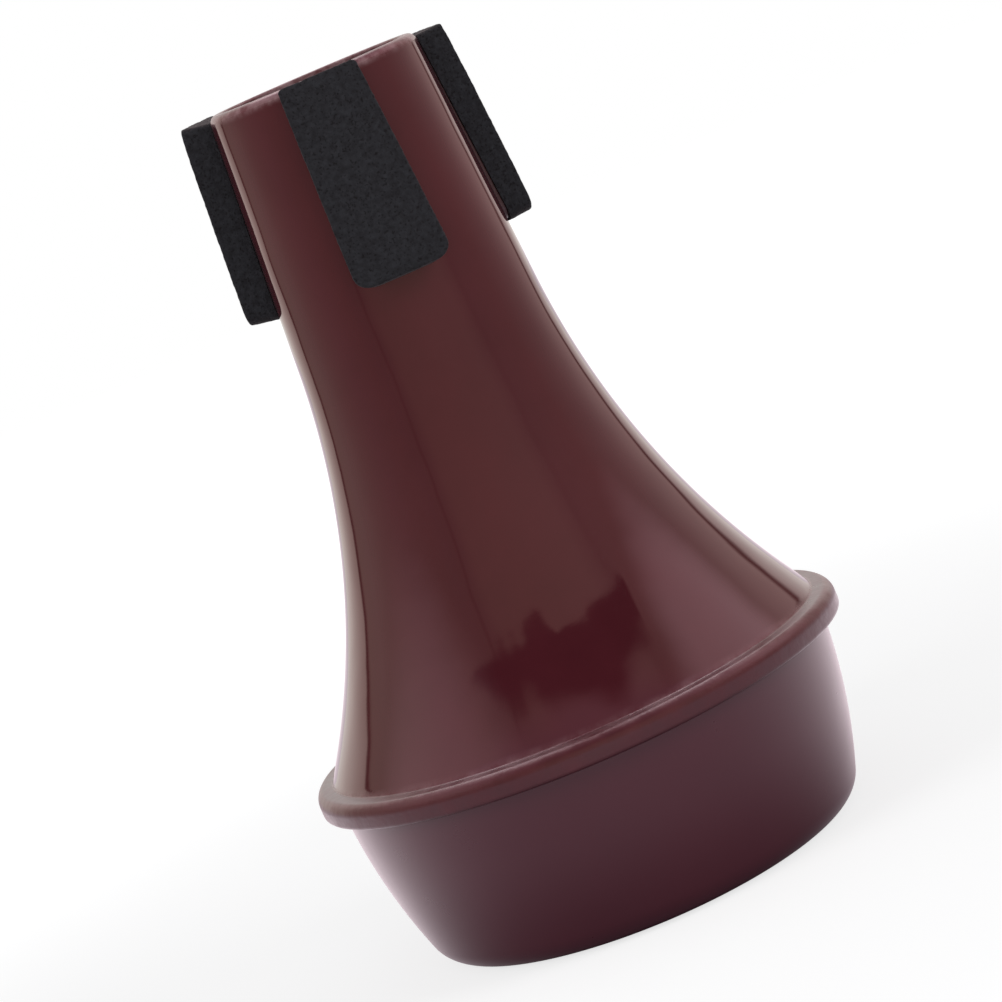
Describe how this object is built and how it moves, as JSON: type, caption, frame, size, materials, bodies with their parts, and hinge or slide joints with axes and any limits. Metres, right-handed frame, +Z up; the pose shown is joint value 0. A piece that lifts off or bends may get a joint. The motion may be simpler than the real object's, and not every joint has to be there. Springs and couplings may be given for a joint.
{
  "type": "trumpet mute",
  "caption": "Straight trumpet practice mute: a flared plastic cone with an open neck, closed by a bowl-shaped end cup, with foam pads round the neck.",
  "frame": {"origin": "centre of the flat base of the end cup, on the surface that the mute stands on", "axes": "+Z up the mute's axis to the open neck; -Y towards the front pad"},
  "size_m": [0.098, 0.098, 0.1524],
  "materials": {
    "cone_plastic": "glossy red-brown moulded plastic",
    "cup_plastic": "satin red-brown moulded plastic",
    "pad_foam": "charcoal closed-cell foam with a napped skin",
    "tape_film": "thin dark brown double-sided adhesive tape"
  },
  "bodies": {
    "root": {"cone_body": "cone_plastic", "end_cup": "cup_plastic", "foam_pad_front": "pad_foam", "foam_pad_right": "pad_foam", "foam_pad_left": "pad_foam", "pad_tape_front": "tape_film", "pad_tape_right": "tape_film", "pad_tape_left": "tape_film"}
  },
  "joints": []
}
